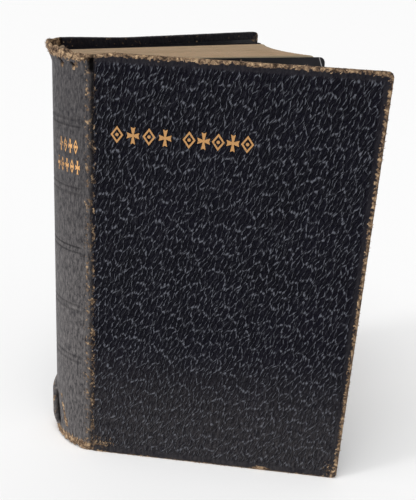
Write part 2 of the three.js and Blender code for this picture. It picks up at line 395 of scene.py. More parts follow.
def new_material(name):
    """An empty material and its node tree. The scales of its noises are given per millimetre."""
    material = bpy.data.materials.new(name)
    material.use_nodes = True
    material.node_tree.nodes.clear()
    return material, material.node_tree


def finish(material, inputs):
    """Gives a material its surface, with the Principled inputs named, and gives the material back."""
    shader = add(material.node_tree, "BsdfPrincipled", inputs)
    add(material.node_tree, "OutputMaterial", {"Surface": shader})
    return material


def colour_ramp(output, stops):
    """Sets a ramp's colours by their places, lowest first."""
    ramp = output.node.color_ramp
    for number, (place, code) in enumerate(stops):
        stop = ramp.elements[number] if number < 2 else ramp.elements.new(place)
        stop.position = place
        stop.color = linear(code)


def worn_goatskin():
    """Navy black goatskin, coloured in a drum dye, with a plated satin grain. Handling has given the grain a
    polish, rubbed the smooth spine grey and laid the brown fibres bare along the edges. The raised crests of
    the grain are painted a lighter grey, part polish and part painted highlight for the gloss on their
    flanks. Cracks, tears and cuts are painted near-black, as painted shade inside them."""
    material, tree = new_material("worn navy goatskin")
    read = {key: add(tree, "Attribute", out="Fac", attribute_name=key)
            for key in ("wear", "rub", "grain", "dark")}
    skin = add(tree, "Attribute", out="Vector", attribute_name="skin")
    height_here = long_grain(tree, skin)
    mottle = add(tree, "TexNoise", {"Vector": skin, "Scale": 0.045 / MM, "Detail": 4.0}, out="Fac")
    dye = add(tree, "Mix", {0: mottle, 6: linear("#030309"), 7: linear("#0f0e1a")}, out=2, data_type="RGBA")
    # painted highlight: the upper half of the grain's height is lightened to grey, part polish from handling
    # and part painted highlight for the gloss of flanks facing the side light
    polish_and_highlight = add(tree, "MapRange", {0: height_here, 1: 0.5, 2: 1.0, 4: 1.0})
    polish_and_highlight = add(tree, "Math", {0: polish_and_highlight, 1: read["grain"]}, operation="MULTIPLY")
    dyed_and_highlit = add(tree, "Mix", {0: polish_and_highlight, 6: dye, 7: linear("#5a5c64")}, out=2, data_type="RGBA")
    # rubbed spine, with the fine upright streaks that hands leave
    streak_place = add(tree, "Mapping", {"Vector": skin, "Scale": (1.0, 1.0, 0.3)})
    streak = add(tree, "TexNoise",
                 {"Vector": streak_place, "Scale": 0.9 / MM, "Detail": 6.0, "Roughness": 0.85}, out="Fac")
    streak = add(tree, "MapRange", {0: streak, 1: 0.38, 2: 0.64})
    rubbed = add(tree, "Mix", {0: streak, 6: linear("#17161b"), 7: linear("#6f6b6a")}, out=2,
                 data_type="RGBA")
    grey = add(tree, "Mix", {0: read["rub"], 6: dyed_and_highlit, 7: rubbed}, out=2, data_type="RGBA")
    # bare fibres, where wear and a fine random fleck together pass a limit
    fibre = add(tree, "TexNoise",
                {"Vector": skin, "Scale": 1.3 / MM, "Detail": 4.0, "Roughness": 0.7}, out="Fac")
    fleck = add(tree, "TexNoise",
                {"Vector": skin, "Scale": 0.62 / MM, "Detail": 4.0, "Roughness": 0.65}, out="Fac")
    grained = add(tree, "Math", {0: height_here, 1: read["grain"]}, operation="MULTIPLY")
    raised = add(tree, "Math", {0: grained, 1: 0.14, 2: fleck}, operation="MULTIPLY_ADD")
    raised = add(tree, "Math", {0: read["wear"], 1: raised}, operation="ADD")
    bare = add(tree, "MapRange", {0: raised, 1: 0.95, 2: 1.07}, interpolation_type="SMOOTHSTEP")
    clump = add(tree, "TexNoise",
                {"Vector": skin, "Scale": 0.48 / MM, "Detail": 5.0, "Roughness": 0.7, "Distortion": 0.6},
                out="Fac")
    hide = add(tree, "ValToRGB", {"Fac": clump})
    colour_ramp(hide, ((0.38, "#2a211a"), (0.5, "#6f5b49"), (0.66, "#bb9f7d")))
    brown = add(tree, "Mix", {0: bare, 6: grey, 7: hide}, out=2, data_type="RGBA")
    # painted shade: where dark is set, in cracks, tears and cuts, the leather is painted near-black for the
    # shade inside them; on the spine's blind lines it is darkened less, as the hot tool's mark
    torn_and_shaded = add(tree, "Mix", {0: read["dark"], 6: brown, 7: linear("#080607")}, out=2, data_type="RGBA")
    # a glossy polish on the grain, duller rubbed leather, dull fibres
    satin = add(tree, "MapRange", {0: height_here, 1: 0.05, 2: 0.6, 3: 0.9, 4: 0.3})
    satin = add(tree, "Mix", {0: read["rub"], 2: satin, 3: 0.5})
    dull = add(tree, "Math", {0: bare, 1: read["dark"]}, operation="MAXIMUM")
    rough = add(tree, "Mix", {0: dull, 2: satin, 3: 0.95})
    bump = add(tree, "Bump", {"Height": grained, "Strength": 1.0, "Distance": GRAIN_BUMP})
    relief = add(tree, "Math", {0: fibre, 1: streak}, operation="ADD")
    bump = add(tree, "Bump", {"Height": relief, "Strength": 0.8, "Distance": 0.07 * MM, "Normal": bump})
    return finish(material, {"Base Color": torn_and_shaded, "Roughness": rough, "Normal": bump, "IOR": 1.5,
                             "Specular IOR Level": 0.1})


goatskin = worn_goatskin()
press_grain = grain_tree()


def ripple(values, size, count, seed):
    """A smooth random line along a distance, from -1 to 1, for edges that are worn unevenly."""
    waves = np.random.default_rng(seed)
    total = np.zeros_like(np.asarray(values, float))
    for _ in range(count):
        total += np.sin(values * tau / (size * waves.uniform(0.5, 1.6)) + waves.uniform(0, tau))
    return total / count ** 0.5


def spine_rub(z):
    """How grey the spine is rubbed: greyer and lighter towards the tail."""
    return 0.62 + 0.38 * smooth(z, 165 * MM, 55 * MM)


def shoulder_wear(distance, z):
    """The brown-flecked rub of the spine's front shoulder, by distance along the spine from the joint."""
    return (0.45 + 0.035 * ripple(z, 11 * MM, 6, 8)) * np.exp(-((distance - 2.2 * MM) / (3.6 * MM)) ** 2)


def cover_fields(hard_worn):
    """The wear, rub, grain, tears and fray of a cover, by distance from its joint and height."""
    def fields(a, z, rim):
        top, bottom, side = height - z, z, cover_width - a
        near = np.minimum(np.minimum(top, bottom), side)
        uneven = 0.35 * MM * ripple(a + 2 * z, 3 * MM, 6, 3) + 0.25 * MM * ripple(a - z, 14 * MM, 3, 4)
        # how worn: head edge, fore-edge, tail edge, the turned-in side, and a scuff at the tail
        scuff = np.hypot((a - 82 * MM) * 0.3, bottom - 1.0 * MM)
        worn = [(0.36 + 0.28 * hard_worn) * smooth(top + uneven, 2.5 * MM, 1.0 * MM),
                (0.46 + 0.10 * hard_worn) * smooth(side + uneven, 2.9 * MM, 1.5 * MM),
                0.6 * smooth(bottom + uneven, 1.5 * MM, 0.3 * MM),
                (0.36 + 0.26 * hard_worn) * (rim > 0),
                0.75 * smooth(scuff, 1.7 * MM, 1.0 * MM)]
        # the corners: fore-edge tail, joint tail, fore-edge head, joint head
        for along, up, depth, reach in ((side * 0.9, bottom * 0.6, 0.50, 17 * MM),
                                        (a * 0.42, bottom * 0.9 - 4 * MM, 0.46, 12 * MM),
                                        (side, top, 0.42, 8 * MM), (a, top * 0.8, 0.42, 5 * MM)):
            worn.append(depth * hard_worn * smooth(np.hypot(along, up), reach, 1 * MM))
        # the ridge of the joint, the spine's shoulder beyond it, and the spine's worn caps
        ridge = np.exp(-((a - 0.2 * MM) / (2.2 * MM)) ** 2)
        low = smooth(z, 150 * MM, 20 * MM)
        worn.append((0.43 + 0.06 * low + 0.06 * ripple(z, 13 * MM, 6, 5)) * ridge)
        worn.append(shoulder_wear(-a, z))
        capped = np.maximum(smooth(top + uneven, 4.4 * MM, 2.8 * MM),
                            smooth(bottom + uneven, 6.0 * MM, 4.0 * MM))
        worn.append(0.70 * capped * smooth(a, 0.6 * MM, -0.8 * MM))
        wear = np.maximum.reduce(worn)
        tooled = np.zeros_like(a)
        if hard_worn == 1:
            for middle in TITLE_PLACES:
                off = np.maximum(np.abs(a - middle) - TITLE_WIDTH / 2,
                                 np.abs(z - TITLE_HEIGHT) - TITLE_TALL / 2)
                tooled = np.maximum(tooled, smooth(off, 0.4 * MM, -0.2 * MM))
        # the grain stops at a plain border with two blind lines, and the hot tools flatten it
        border = smooth(near, 3.0 * MM, 4.4 * MM)
        grain = border * smooth(a, -1.6 * MM, 2.2 * MM) * (1 - 0.5 * smooth(wear, 0.45, 0.6)) * (rim == 0)
        grain = grain * (1 - 0.6 * tooled)
        lines = sum(depth * np.exp(-((near - inset) / wide) ** 2)
                    for inset, wide, depth in ((3.7 * MM, 0.35 * MM, 1), (2.4 * MM, 0.3 * MM, 0.7)))
        groove = np.exp(-((a + 0.2 * MM) / (0.9 * MM)) ** 2)
        stand = -0.2 * MM * lines * (rim == 0) - 0.3 * MM * groove - 0.08 * MM * tooled
        rub = np.maximum(smooth(a, 0.6 * MM, -1.6 * MM) * spine_rub(z), 0.12 * (1 - border))
        rub = np.maximum(rub, 0.26 * smooth(z, 70 * MM, 10 * MM))
        # the head edge dips towards the front joint, and rises a little towards the back one
        lift = -1.0 * MM * hard_worn * smooth(a, 9 * MM, -1 * MM) * smooth(top, 4 * MM, 0)
        lift = lift + 1.3 * MM * (1 - hard_worn) * smooth(a, 40 * MM, -2 * MM) * smooth(top, 6 * MM, 0)
        # the joint has cracked, and tears through in a short slot at the head; crack and slot are painted
        # near-black, as painted shade inside them
        ragged = 0.35 * MM * ripple(z * 9 + a, 2.6 * MM, 4, 31)
        slot = smooth(np.abs(a + 0.9 * MM) + ragged, 1.3 * MM, 0.7 * MM)
        slot = slot * smooth(np.abs(z - 185.2 * MM), 3.4 * MM, 2.4 * MM) * (hard_worn == 1)
        shaded_crack = 0.85 * groove * (0.45 + 0.55 * smooth(z, 110 * MM, 170 * MM))
        dark = np.clip(shaded_crack + slot, 0, 1)
        worn_through = smooth(wear, 0.55, 0.62) * smooth(a, 2.5 * MM, 4 * MM) * (rim < 2)
        fray = worn_through * (near < 3 * MM) * 0.35
        attributes = {"wear": wear, "rub": rub, "grain": grain, "dark": dark, "fray": fray}
        return attributes, stand - 1.2 * MM * slot, lift

    return fields


def cover_depth(a):
    return FLAP + (BOARD_COVER - FLAP) * smooth(a, BOARD_START - 0.9 * MM, BOARD_START)


up_rows = np.linspace(EDGE_ROLL, height - EDGE_ROLL, SKIN_ROWS)
joint_columns = np.linspace(-JOINT_OVERLAP, 3 * MM, JOINT_COLUMNS)
board_columns = np.linspace(3 * MM, cover_width - EDGE_ROLL, BOARD_COLUMNS + 1)[1:]
cover_columns = np.concatenate([joint_columns, board_columns])
for side, path, joint, direction, hard_worn, on_skin in (
        ("front", front_path, joint_a, np.array([1.0, 0.0]), 1.0, lambda a: a),
        ("back", back_path, joint_b, back_direction, 0.0, lambda a: -arc_length - a)):
    skin = wrapped_panel(f"{side}_cover_skin", cover_columns, up_rows, path, cover_depth, cover_width,
                         cover_fields(hard_worn), on_skin)
    grow(skin, press_grain, relief=GRAIN_RELIEF, fray=FRAY_RELIEF, leather=goatskin)
    keep_above_table(skin)
    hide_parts(f"{side}_cover_leather")
    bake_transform(skin)

# ---- Spine leather -----------------------------------------------------------------------------
# The spine is the same skin without the pressed grain, drawn over a hollow and turned in at head and
# tail round the caps. It has five pairs of blind lines, and years of hands have rubbed it grey.
SPINE_THICKNESS = 1.5 * MM
LINE_HEIGHTS = [49 * MM, 75.5 * MM, 104 * MM, 131 * MM, 160.5 * MM]
LINE_APART = 2.6 * MM
SPINE_COLUMNS = 84


def spine_fields(a, z, rim):
    """The same for the spine, by distance round it from the front joint."""
    top, bottom = height - z, z
    share = a / arc_length
    blind = sum(np.exp(-((z - line - half) / (0.30 * MM)) ** 2)
                for line in LINE_HEIGHTS for half in (-LINE_APART / 2, LINE_APART / 2))
    lines = blind * smooth(share, 0.10, 0.16) * smooth(share, 0.95, 0.9)
    uneven = 0.5 * MM * ripple(a * 3, 5 * MM, 6, 11)
    # how worn: head cap, tail cap, front shoulder, back shoulder, the turned-in side
    back_shoulder = np.exp(-((arc_length - 2.0 * MM - a) / (4.0 * MM)) ** 2)
    held = 0.37 + 0.09 * smooth(z, 90 * MM, 20 * MM) + 0.04 * ripple(z, 9 * MM, 5, 27)
    worn = [0.72 * smooth(top + uneven, 5.0 * MM, 3.2 * MM),
            0.72 * smooth(bottom + 1.8 * uneven, 6.8 * MM, 4.6 * MM),
            shoulder_wear(a, z), held * back_shoulder, 0.66 * (rim > 0)]
    for spot_a, spot_z in ((7.2 * MM, 184.5 * MM), (15.4 * MM, 183.6 * MM), (8.6 * MM, 183.4 * MM)):
        spot = np.hypot(a - spot_a, (z - spot_z) * 0.6)
        worn.append(0.62 * smooth(spot, 1.5 * MM, 0.6 * MM))
    # a scrape runs down to a loose patch near the tail, beside a tear along the back joint, which is painted
    # near-black as painted shade in its gap
    scrape = np.abs(a - 16.5 * MM - 0.32 * (z - 14 * MM)) + 0.4 * MM * ripple(z, 5 * MM, 4, 17)
    wide = 0.7 * MM + 0.7 * MM * smooth(z, 18 * MM, 11 * MM)
    scraped = smooth(scrape, wide * 1.5, wide * 0.6) * smooth(np.abs(z - 17 * MM), 9.5 * MM, 7.5 * MM)
    torn_at = 24.3 * MM + 0.25 * (z - 15 * MM) + 0.3 * MM * ripple(z, 6 * MM, 3, 19)
    dark = smooth(np.abs(a - torn_at), 1.8 * MM, 1.1 * MM) * smooth(np.abs(z - 14.5 * MM), 9 * MM, 7 * MM)
    ragged = smooth(a - torn_at + 2 * uneven, 0.2 * MM, 2.6 * MM)
    worn += [0.66 * scraped,
             (0.50 + 0.05 * ripple(z, 9 * MM, 4, 29)) * ragged * smooth(z, 60 * MM, 20 * MM)]
    wear = np.maximum.reduce(worn)
    # two short cuts in the head cap, painted near-black as painted shade in them
    for cut_a, cut_z, long in ((16.2 * MM, 185 * MM, 2.2 * MM), (9.2 * MM, 184.4 * MM, 1.4 * MM)):
        cut = np.hypot((a - cut_a) / long, (z - cut_z + (a - cut_a) * -0.45) / (0.55 * MM))
        dark = np.maximum(dark, smooth(cut, 1.1, 0.6))
    # the head cap flares, and the leather lifts at the tear, on its outer face only
    flare = smooth(z, height - 8 * MM, height) * (0.4 * MM + 2.0 * MM * smooth(share, 0.3, 0.75))
    flare = flare * smooth(share, 0.93, 0.80)
    lip = 2.1 * MM * smooth(a - torn_at, 0.4 * MM, 2.4 * MM) * smooth(np.abs(z - 16 * MM), 14 * MM, 6 * MM)
    stand = (lip - 0.2 * MM * lines - 0.9 * MM * dark) * (rim == 0) + flare
    rub = spine_rub(z) * (1 - 0.5 * np.clip(lines, 0, 1))
    # the caps are dented at the front, raised at the back, ragged at the head and eaten at the tail
    lift = -1.2 * MM * smooth(a, 14 * MM, 5 * MM) * smooth(top, 5 * MM, 0)
    lift = lift + 0.45 * MM * ripple(a, 5 * MM, 5, 21) * smooth(top, 1.5 * MM, 0)
    lift = lift + 1.3 * MM * smooth(share, 0.45, 0.85) * smooth(top, 6 * MM, 0)
    eaten = 1.0 * MM + 0.9 * MM * ripple(a, 4 * MM, 6, 23)
    lift = lift + np.maximum(eaten, 0.1 * MM) * smooth(bottom, 3 * MM, 0) * smooth(a, 3.5 * MM, 9 * MM)
    dark = np.maximum(dark, 0.55 * np.clip(lines, 0, 1))
    fray = smooth(wear, 0.6, 0.68) * (rim < 2)
    return {"wear": wear, "rub": rub, "grain": a * 0, "dark": dark, "fray": fray}, stand, lift


spine_columns = np.linspace(JOINT_OVERLAP, arc_length - JOINT_OVERLAP, SPINE_COLUMNS)
spine_skin = wrapped_panel("spine_skin", spine_columns, up_rows, along_spine,
                           lambda a: np.full(len(a), SPINE_THICKNESS), None, spine_fields, lambda a: -a)
grow(spine_skin, press_grain, relief=0.0, fray=FRAY_RELIEF, leather=goatskin)
keep_above_table(spine_skin)
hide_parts("spine_leather")
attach(spine_skin, "spine_and_sewing")

# ---- Pages -------------------------------------------------------------------------------------
# The text block is twenty-four folded sections of thin paper, sewn through their folds on to three
# tapes. They swell from the pinched fold to the fore-edge, and their cut edges have browned.
LEAVES = 9  # the leaves of a section that are drawn, each standing for a few real ones
SECTIONS = 24  # counted from the front; the last one stays with the spine
LEAF_FILL = 0.9  # a leaf's share of its pitch at the fold
LEAF_GRID = (8, 2)  # columns and rows of a drawn leaf
PAGE_CORNER = 3 * MM
SWELL = 28 * MM  # the leaves part over this distance from the fold
RAGGED = 0.0018  # the share by which a leaf may be cut short
LINES_ACROSS, LINES_ALONG = 0.9 / MM, 0.025 / MM  # how often the cut leaves' lines change


def lie_of(node):
    """A flat node's matrix from its near end towards the fore-edge, its length, and its two thicknesses."""
    points = np.array([vertex.co[:] for vertex in frame["nodes"][node].data.vertices])
    plan = points[:, :2]
    out = plan @ shut
    near = plan[out < out.min() + 0.3 * MM].mean(0)
    far_end = plan[out > out.max() - 1 * MM]
    run = far_end.mean(0) - near
    length = np.linalg.norm(run)
    run /= length
    across = np.array([-run[1], run[0]])
    thick = np.ptp(far_end @ across)
    fold_end = plan[out < out.min() + 2 * MM]
    matrix = Matrix(((run[0], across[0], 0, near[0]), (run[1], across[1], 0, near[1]),
                     (0, 0, 1, 0), (0, 0, 0, 1)))
    return matrix, length, min(np.ptp(fold_end @ across), thick), thick


def sheet_mesh(name, length, low, high, thickness, columns, rows, bend=None):
    """A closed sheet of paper with round fore-edge corners; its rim has the face attribute edge."""
    turn = np.linspace(0, pi / 2, 5)
    flat = np.linspace(0, length - PAGE_CORNER, columns)
    x = np.concatenate([flat, length - PAGE_CORNER + PAGE_CORNER * np.sin(turn[1:])])
    inset = np.concatenate([np.zeros(columns), PAGE_CORNER * (1 - np.cos(turn[1:]))])
    share = np.linspace(0, 1, rows)
    z = (low + inset)[:, None] + share * (high - low - 2 * inset)[:, None]
    xs = np.repeat(x[:, None], rows, 1)
    middle = np.zeros_like(z) if bend is None else bend(xs, z)
    sides = [np.stack([xs, middle + side * thickness / 2, z], -1).reshape(-1, 3) for side in (-1, 1)]
    n = len(x)
    at = np.arange(n * rows).reshape(n, rows)
    faces, rim = [], []
    for i in range(n - 1):
        for j in range(rows - 1):
            quad = (at[i, j], at[i + 1, j], at[i + 1, j + 1], at[i, j + 1])
            faces += [quad, tuple(k + n * rows for k in reversed(quad))]
    around = [*at[:, 0], *at[-1, 1:], *at[-2::-1, -1], *at[0, -2:0:-1]]
    for here, there in zip(around, around[1:] + around[:1]):
        rim.append((here, here + n * rows, there + n * rows, there))
    piece = make_mesh(name, np.concatenate(sides), [tuple(int(k) for k in f) for f in faces + rim],
                      {"sheet": np.concatenate([np.stack([xs, xs * 0, z], -1).reshape(-1, 3)] * 2)})
    edge = piece.data.attributes.new("edge", "FLOAT", "FACE")
    edge.data.foreach_set("value", [0.0] * len(faces) + [1.0] * len(rim))
    piece.data.polygons.foreach_set("use_smooth", [True] * len(faces) + [False] * len(rim))
    return piece


def stack_tree():
    """Copies one leaf into a section, its leaves parting from the pinched fold to the fore-edge."""
    tree, given = new_tree("stack leaves", {
        "Count": "Int", "Fold Pitch": "Float", "Edge Pitch": "Float", "Swell": "Float",
        "Ragged": "Float", "Seed": "Int", "Section Tone": "Float", "Paper": "Material"})
    line = add(tree, "GeometryNodeMeshLine", {"Count": given["Count"], "Offset": (0, 0, 0)})
    index = add(tree, "GeometryNodeInputIndex")
    least = add(tree, "Math", {0: 1.0, 1: given["Ragged"]}, operation="SUBTRACT")
    low = add(tree, "CombineXYZ", {0: least, 1: 1.0, 2: least})
    size = add(tree, "FunctionNodeRandomValue", {0: low, 1: (1, 1, 1), "Seed": given["Seed"]},
               data_type="FLOAT_VECTOR")
    leaves = add(tree, "GeometryNodeInstanceOnPoints",
                 {"Points": line, "Instance": given["Geometry"], "Scale": size})
    tone = add(tree, "FunctionNodeRandomValue", {"Seed": given["Seed"]}, out=1)
    tone = add(tree, "Math", {0: tone, 1: 0.4, 2: given["Section Tone"]}, operation="MULTIPLY_ADD")
    for key, value in (("leaf", index), ("tone", tone)):
        leaves = add(tree, "GeometryNodeStoreNamedAttribute",
                     {"Geometry": leaves, "Name": key, "Value": value}, domain="INSTANCE")
    block = add(tree, "GeometryNodeRealizeInstances", {0: leaves})
    leaf = add(tree, "GeometryNodeInputNamedAttribute", {"Name": "leaf"})
    middle = add(tree, "Math", {0: given["Count"], 1: -0.5, 2: 0.5}, operation="MULTIPLY_ADD")
    rank = add(tree, "Math", {0: leaf, 1: middle}, operation="ADD")
    place = add(tree, "GeometryNodeInputPosition")
    out = add(tree, "SeparateXYZ", {0: place})
    pitch = add(tree, "MapRange",
                {0: out, 2: given["Swell"], 3: given["Fold Pitch"], 4: given["Edge Pitch"]},
                interpolation_type="SMOOTHSTEP")
    aside = add(tree, "Math", {0: rank, 1: pitch}, operation="MULTIPLY")
    offset = add(tree, "CombineXYZ", {1: aside})
    block = add(tree, "GeometryNodeSetPosition", {"Geometry": block, "Offset": offset})
    return end_tree(tree, block, given["Paper"])


def toned_paper():
    """Thin opaque rag paper, calendered, cream on its faces. The cut edges are brown with age, handling and
    dust, and show each leaf as a fine line, painted darker between the leaves as painted shade in the gaps."""
    material, tree = new_material("toned thin rag paper")
    place = add(tree, "TexCoord", out="Object")
    edge = add(tree, "Attribute", out="Fac", attribute_name="edge")
    tone = add(tree, "Attribute", out="Fac", attribute_name="tone")
    cloud = add(tree, "TexNoise", {"Vector": place, "Scale": 0.07 / MM, "Detail": 4.0}, out="Fac")
    face = add(tree, "Mix", {0: cloud, 6: linear("#d9cbb0"), 7: linear("#c9b795")}, out=2, data_type="RGBA")
    cut = add(tree, "Mix", {0: tone, 6: linear("#cf9a80"), 7: linear("#ffd9c0")}, out=2, data_type="RGBA")
    grime = add(tree, "MapRange", {0: cloud, 1: 0.52, 2: 0.72, 4: 0.45})
    cut = add(tree, "Mix", {0: grime, 6: cut, 7: linear("#b88a72")}, out=2, data_type="RGBA")
    through = add(tree, "VectorMath", {0: place, 1: (*along_chord * LINES_ACROSS, 0)}, out="Value",
                  operation="DOT_PRODUCT")
    along = add(tree, "VectorMath", {0: place, 1: (*shut * LINES_ALONG, 0)}, out="Value",
                operation="DOT_PRODUCT")
    leaf_place = add(tree, "CombineXYZ", {0: through, 1: along})
    leaf_gap_shade = add(tree, "TexNoise", {"Vector": leaf_place, "Scale": 1.0, "Detail": 3.0}, out="Fac")
    leaf_gap_shade = add(tree, "MapRange", {0: leaf_gap_shade, 1: 0.5, 2: 0.68, 4: 0.5})
    # painted shade: fine dark lines across the cut edges, for the shade in the gaps between the leaves
    cut = add(tree, "Mix", {0: leaf_gap_shade, 6: cut, 7: linear("#6d5040")}, out=2, data_type="RGBA")
    colour = add(tree, "Mix", {0: edge, 6: face, 7: cut}, out=2, data_type="RGBA")
    fibres = add(tree, "TexNoise", {"Vector": place, "Scale": 1.5 / MM, "Detail": 3.0}, out="Fac")
    bump = add(tree, "Bump", {"Height": fibres, "Strength": 0.3, "Distance": 0.03 * MM})
    return finish(material, {"Base Color": colour, "Roughness": 0.8, "Normal": bump,
                             "Specular IOR Level": 0.3})


paper = toned_paper()
stack = stack_tree()
tones = np.random.default_rng(12).uniform(0, 0.6, SECTIONS)
page_low, page_high = (corner.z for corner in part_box("text_section_01"))
for number in range(1, SECTIONS + 1):
    node = f"text_section_{number:02d}"
    matrix, length, fold_thick, edge_thick = lie_of(node)
    leaf_thick = fold_thick / LEAVES * LEAF_FILL
    section = sheet_mesh(f"{node}_leaves", length, page_low, page_high, leaf_thick, *LEAF_GRID)
    grow(section, stack, count=LEAVES, fold_pitch=fold_thick / LEAVES, edge_pitch=edge_thick / LEAVES,
         swell=SWELL, ragged=RAGGED, seed=number, section_tone=float(tones[number - 1]), paper=paper)
    section.data.transform(matrix)
    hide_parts(node)
    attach(section, node if number < SECTIONS else "spine_and_sewing")

# ---- Endpapers ---------------------------------------------------------------------------------
# Black coated paper: one leaf is pasted inside each board over the turned-in leather, and its fellow
# stands free as a flyleaf. The front flyleaf has curled a little and has a dog-ear's pale crease.
EAR_SLOPE = 0.45  # the dog-ear's fold, as a slope
EAR_REACH = 3.4 * MM  # how far along the head edge it starts from the corner
RIPPLE, RIPPLE_TURN = 0.05 * MM, 2.2 * pi  # a slight wave up the height of a flyleaf
FLYLEAF_GRID = (30, 40)


def black_endpaper(ear_at):
    """Black surface-coated paper, faintly blue, with a low sheen. A fold breaks its coating to a pale
    line."""
    material, tree = new_material("black coated endpaper")
    place = add(tree, "TexCoord", out="Object")
    scuff = add(tree, "TexNoise", {"Vector": place, "Scale": 0.13 / MM, "Detail": 6.0}, out="Fac")
    scuff = add(tree, "MapRange", {0: scuff, 1: 0.45, 2: 0.75})
    black = add(tree, "Mix", {0: scuff, 6: linear("#0d0c12"), 7: linear("#211f26")}, out=2,
                data_type="RGBA")
    sheet = add(tree, "Attribute", out="Vector", attribute_name="sheet")
    eared = add(tree, "Attribute", out="Fac", attribute_name="dog_ear")
    along = add(tree, "VectorMath", {0: sheet, 1: (1, 0, EAR_SLOPE)}, out="Value", operation="DOT_PRODUCT")
    off_line = add(tree, "Math", {0: along, 1: ear_at}, operation="SUBTRACT")
    off_line = add(tree, "Math", {0: off_line}, operation="ABSOLUTE")
    line = add(tree, "MapRange", {0: off_line, 1: 0.3 * MM, 2: 0.12 * MM})
    line = add(tree, "Math", {0: line, 1: eared}, operation="MULTIPLY")
    colour = add(tree, "Mix", {0: line, 6: black, 7: linear("#b5b2b2")}, out=2, data_type="RGBA")
    fibres = add(tree, "TexNoise", {"Vector": place, "Scale": 1.2 / MM, "Detail": 3.0}, out="Fac")
    bump = add(tree, "Bump", {"Height": fibres, "Strength": 0.4, "Distance": 0.04 * MM})
    return finish(material, {"Base Color": colour, "Roughness": 0.5, "Normal": bump,
                             "Specular IOR Level": 0.3})


leaf_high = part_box("front_flyleaf")[1].z
endpaper = black_endpaper(lie_of("front_flyleaf")[1] - EAR_REACH + EAR_SLOPE * leaf_high)
for side, curl in (("front", -0.3 * MM), ("back", 0.15 * MM)):
    node = f"{side}_flyleaf"
    matrix, length, _, thick = lie_of(node)
    flyleaf = sheet_mesh(f"{node}_sheet", length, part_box(node)[0].z, leaf_high, thick, *FLYLEAF_GRID,
                         lambda x, z: curl * smooth(x / length, 0.55, 1) * (0.4 + 0.6 * z / leaf_high)
                         + RIPPLE * np.sin(z / leaf_high * RIPPLE_TURN) * smooth(x / length, 0.3, 1))
    if side == "front":
        eared = flyleaf.data.attributes.new("dog_ear", "FLOAT", "POINT")
        eared.data.foreach_set("value", [1.0] * len(flyleaf.data.vertices))
    flyleaf.data.transform(matrix)
    flyleaf.data.materials.append(endpaper)
    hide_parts(node)
    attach(flyleaf, node)
    frame["nodes"][f"{side}_pastedown"].material_slots[0].material = endpaper

# ---- Boards and spine linings ------------------------------------------------------------------
# Grey pulp boards lie inside the covers. Down the spine, the folds are glued to starched mull and three
# linen tapes, and the hollow spine is stiffened with a brown paper lining.


def dress(nodes, material):
    """Gives pieces that keep their plain shape a material."""
    for node in nodes:
        frame["nodes"][node].material_slots[0].material = material


def pulp(name, dark, light, size, roughness):
    """Pressed board or kraft paper: matt, mottled with fibres of the given size."""
    material, tree = new_material(name)
    place = add(tree, "TexCoord", out="Object")
    coarse = add(tree, "TexNoise",
                 {"Vector": place, "Scale": 1 / size, "Detail": 6.0, "Roughness": 0.7}, out="Fac")
    spread = add(tree, "MapRange", {0: coarse, 1: 0.35, 2: 0.65})
    colour = add(tree, "Mix", {0: spread, 6: linear(dark), 7: linear(light)}, out=2, data_type="RGBA")
    bump = add(tree, "Bump", {"Height": coarse, "Strength": 0.5, "Distance": 0.1 * MM})
    return finish(material, {"Base Color": colour, "Roughness": roughness, "Normal": bump})


def weave(name, dark, light, spacing, openness):
    """Plain-woven thread, upright and across, at its real spacing; openness is the width of the gaps."""
    material, tree = new_material(name)
    place = add(tree, "TexCoord", out="Object")
    level = add(tree, "VectorMath", {0: place, 1: (*along_chord, 0)}, out="Value", operation="DOT_PRODUCT")
    upright = add(tree, "SeparateXYZ", {0: place}, out=2)
    threads = []
    for run in (level, upright):
        turns = add(tree, "Math", {0: run, 1: tau / spacing}, operation="MULTIPLY")
        threads.append(add(tree, "Math", {0: turns}, operation="COSINE"))
    over = add(tree, "Math", {0: threads[0], 1: threads[1]}, operation="MAXIMUM")
    raised = add(tree, "MapRange", {0: over, 1: openness - 1, 2: 1.0})
    colour = add(tree, "Mix", {0: raised, 6: linear(dark), 7: linear(light)}, out=2, data_type="RGBA")
    bump = add(tree, "Bump", {"Height": raised, "Strength": 0.8, "Distance": spacing / 5})
    return finish(material, {"Base Color": colour, "Roughness": 0.85, "Normal": bump})


dress(["front_board", "back_board"], pulp("grey pulp board", "#4a4641", "#77726b", 1.2 * MM, 0.9))
dress(["spine_lining"], pulp("brown kraft lining paper", "#6e563f", "#917556", 0.8 * MM, 0.75))
dress(["mull"], weave("starched cotton mull", "#6d6048", "#d0c4a6", 0.9 * MM, 0.9))
dress([f"sewing_tape_{number}" for number in (1, 2, 3)],
      weave("unbleached linen tape", "#97845f", "#cdbb94", 0.45 * MM, 0.2))
dress(["kettle_stitch_tail", "kettle_stitch_head"],
      weave("waxed linen thread", "#8d7b58", "#c9b78e", 0.25 * MM, 0.2))

# ---- Head and tail bands -----------------------------------------------------------------------
# A cord core is wrapped with silk in two dulled colours and glued across the ends of the folds, to
# close the gap between the text block and the leather at head and tail.
SILK_THREAD = 0.42 * MM
SILK_SLANT = radians(8)
BAND_START, BAND_END, BAND_POINTS = 0.06, 0.94, 60  # as shares of the way round the spine


